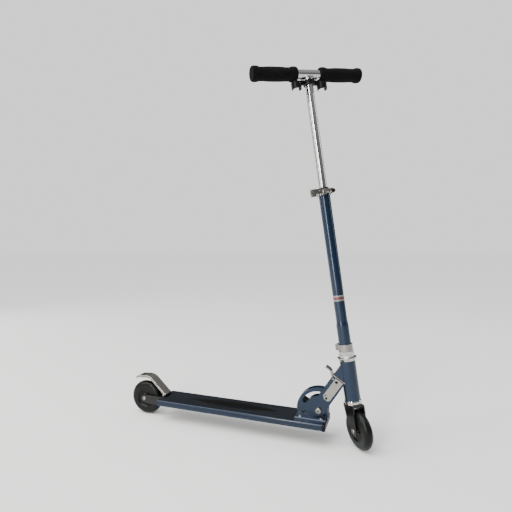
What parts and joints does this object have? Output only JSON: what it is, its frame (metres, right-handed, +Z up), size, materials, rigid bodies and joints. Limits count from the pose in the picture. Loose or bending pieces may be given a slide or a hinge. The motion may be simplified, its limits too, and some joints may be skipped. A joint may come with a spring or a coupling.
{
  "type": "kick scooter",
  "caption": "Folding two-wheel kick scooter: blue metal deck, folding neck with window plates, telescoping T-bar with foam grips, two 98 mm wheels, fender brake.",
  "frame": {"origin": "middle of the deck's flat underside", "axes": "+X forward along the deck, +Y to the rider's left, +Z up"},
  "size_m": [0.6981, 0.2, 0.9377],
  "materials": {
    "navy_paint": "satin metallic",
    "deck_paint": "satin metallic paint on extruded aluminium",
    "black_paint": "semi-gloss",
    "chrome": "polished",
    "zinc_steel": "zinc plated",
    "silver_plate": "satin nickel",
    "clamp_alloy": "polished cast",
    "fender_alloy": "brushed",
    "wheel_tyre": "smooth polyurethane",
    "hub_plastic": "satin",
    "black_plastic": "satin",
    "bush_plastic": "matt",
    "rubber_black": "matt",
    "foam_black": "open foam, matt",
    "grip_sheet": "fine grit sheet",
    "badge_print": "printed, no lettering",
    "spring_steel": "bright",
    "dark_steel": "black oxide"
  },
  "bodies": {
    "deck": {"deck": "deck_paint", "grip_tape": "grip_sheet", "deck_badge": "badge_print", "front_end_cap": "black_plastic", "folding_plates": "navy_paint", "bracket_screws": "zinc_steel", "fold_bumper": "rubber_black", "pivot_bolt": "zinc_steel", "pivot_nut": "zinc_steel", "pivot_sleeve": "zinc_steel", "rear_fork": "black_paint", "rear_fork_bolts": "zinc_steel", "rear_axle_bolt": "zinc_steel", "rear_axle_nut": "zinc_steel", "rear_axle_washers": "zinc_steel", "brake_hinge_bracket": "black_paint", "brake_hinge_pin": "zinc_steel", "brake_spring": "spring_steel"},
    "rear_wheel": {"rear_tyre": "wheel_tyre", "rear_hub": "hub_plastic", "rear_bearings": "zinc_steel"},
    "brake": {"brake_fender": "fender_alloy", "brake_pad": "rubber_black"},
    "neck": {"neck_plates": "navy_paint", "neck_block": "navy_paint", "neck_end_plate": "silver_plate", "head_tube": "navy_paint", "headset_cups": "chrome", "headset_bearings": "spring_steel", "lock_lever_pin": "zinc_steel", "lock_spring": "spring_steel"},
    "lock_slider": {"lock_plates": "silver_plate", "lock_pins": "dark_steel"},
    "lock_lever": {"lock_lever": "silver_plate"},
    "steering": {"fork": "black_paint", "headset_cones": "chrome", "headset_lock_nut": "chrome", "lower_stem_tube": "navy_paint", "stem_clamp": "clamp_alloy", "stem_clamp_bolts": "zinc_steel", "height_clamp": "clamp_alloy", "height_clamp_bolt": "zinc_steel", "height_clamp_knob": "black_plastic", "stem_bush": "bush_plastic", "front_axle_bolt": "zinc_steel", "front_axle_nut": "zinc_steel", "front_axle_washers": "zinc_steel"},
    "front_wheel": {"front_tyre": "wheel_tyre", "front_hub": "hub_plastic", "front_bearings": "zinc_steel"},
    "height_lever": {"height_clamp_lever": "silver_plate"},
    "t_bar": {"t_bar": "chrome", "lower_bush": "bush_plastic", "grip_clip": "black_plastic"},
    "handle_right": {"handle_tube_right": "chrome", "grip_right": "foam_black"},
    "handle_left": {"handle_tube_left": "chrome", "grip_left": "foam_black"},
    "button_right": {"handle_button_right": "chrome"},
    "button_left": {"handle_button_left": "chrome"}
  },
  "joints": [
    {"name": "rear_wheel_spin", "type": "hinge", "parent": "deck", "child": "rear_wheel", "pos_m": [-0.2982, 0, 0.0055], "axis": [0, 1, 0], "continuous": true},
    {"name": "brake_press", "type": "hinge", "parent": "deck", "child": "brake", "pos_m": [-0.2324, 0, 0.0226], "axis": [0, -1, 0], "range_deg": [0, 5], "stiffness_Nm_per_rad": 0.6, "springref_deg": -28.65},
    {"name": "stem_fold", "type": "hinge", "parent": "deck", "child": "neck", "pos_m": [0.2166, 0, 0.0406], "axis": [0, -1, 0], "range_deg": [0, 78]},
    {"name": "lock_lever_turn", "type": "hinge", "parent": "neck", "child": "lock_lever", "pos_m": [0.25136, 0, 0.12534], "axis": [0, -1, 0], "range_deg": [0, 20], "stiffness_Nm_per_rad": 0.05, "springref_deg": -28.65},
    {"name": "lock_slide", "type": "slide", "parent": "neck", "child": "lock_slider", "axis": [0.5446, 0, 0.8387], "range_m": [0, 0.004]},
    {"name": "steering_turn", "type": "hinge", "parent": "neck", "child": "steering", "pos_m": [0.29393, 0, 0.10269], "axis": [-0.153, 0, 0.9882], "continuous": true},
    {"name": "front_wheel_spin", "type": "hinge", "parent": "steering", "child": "front_wheel", "pos_m": [0.31574, -0.00843, 0.00487], "axis": [0.7787, 0.6157, 0.1206], "continuous": true},
    {"name": "height_lever_turn", "type": "hinge", "parent": "steering", "child": "height_lever", "pos_m": [0.22305, -0.02509, 0.57996], "axis": [-0.153, 0, 0.9882], "range_deg": [0, 95]},
    {"name": "height_slide", "type": "slide", "parent": "steering", "child": "t_bar", "axis": [-0.153, 0, 0.9882], "range_m": [-0.22, 0]},
    {"name": "handle_right_slide", "type": "slide", "parent": "t_bar", "child": "handle_right", "axis": [-0.7787, -0.6157, -0.1206], "range_m": [0, 0.028]},
    {"name": "handle_left_slide", "type": "slide", "parent": "t_bar", "child": "handle_left", "axis": [0.7787, 0.6157, 0.1206], "range_m": [0, 0.028]},
    {"name": "button_right_press", "type": "slide", "parent": "t_bar", "child": "button_right", "axis": [-0.153, 0, 0.9882], "range_m": [0, 0.003], "stiffness_N_per_m": 800, "springref_m": -0.002},
    {"name": "button_left_press", "type": "slide", "parent": "t_bar", "child": "button_left", "axis": [-0.153, 0, 0.9882], "range_m": [0, 0.003], "stiffness_N_per_m": 800, "springref_m": -0.002}
  ],
  "couplings": [
    {"joint": "lock_lever_turn", "follows": "lock_slide", "rad_per_m": 86.957}
  ]
}
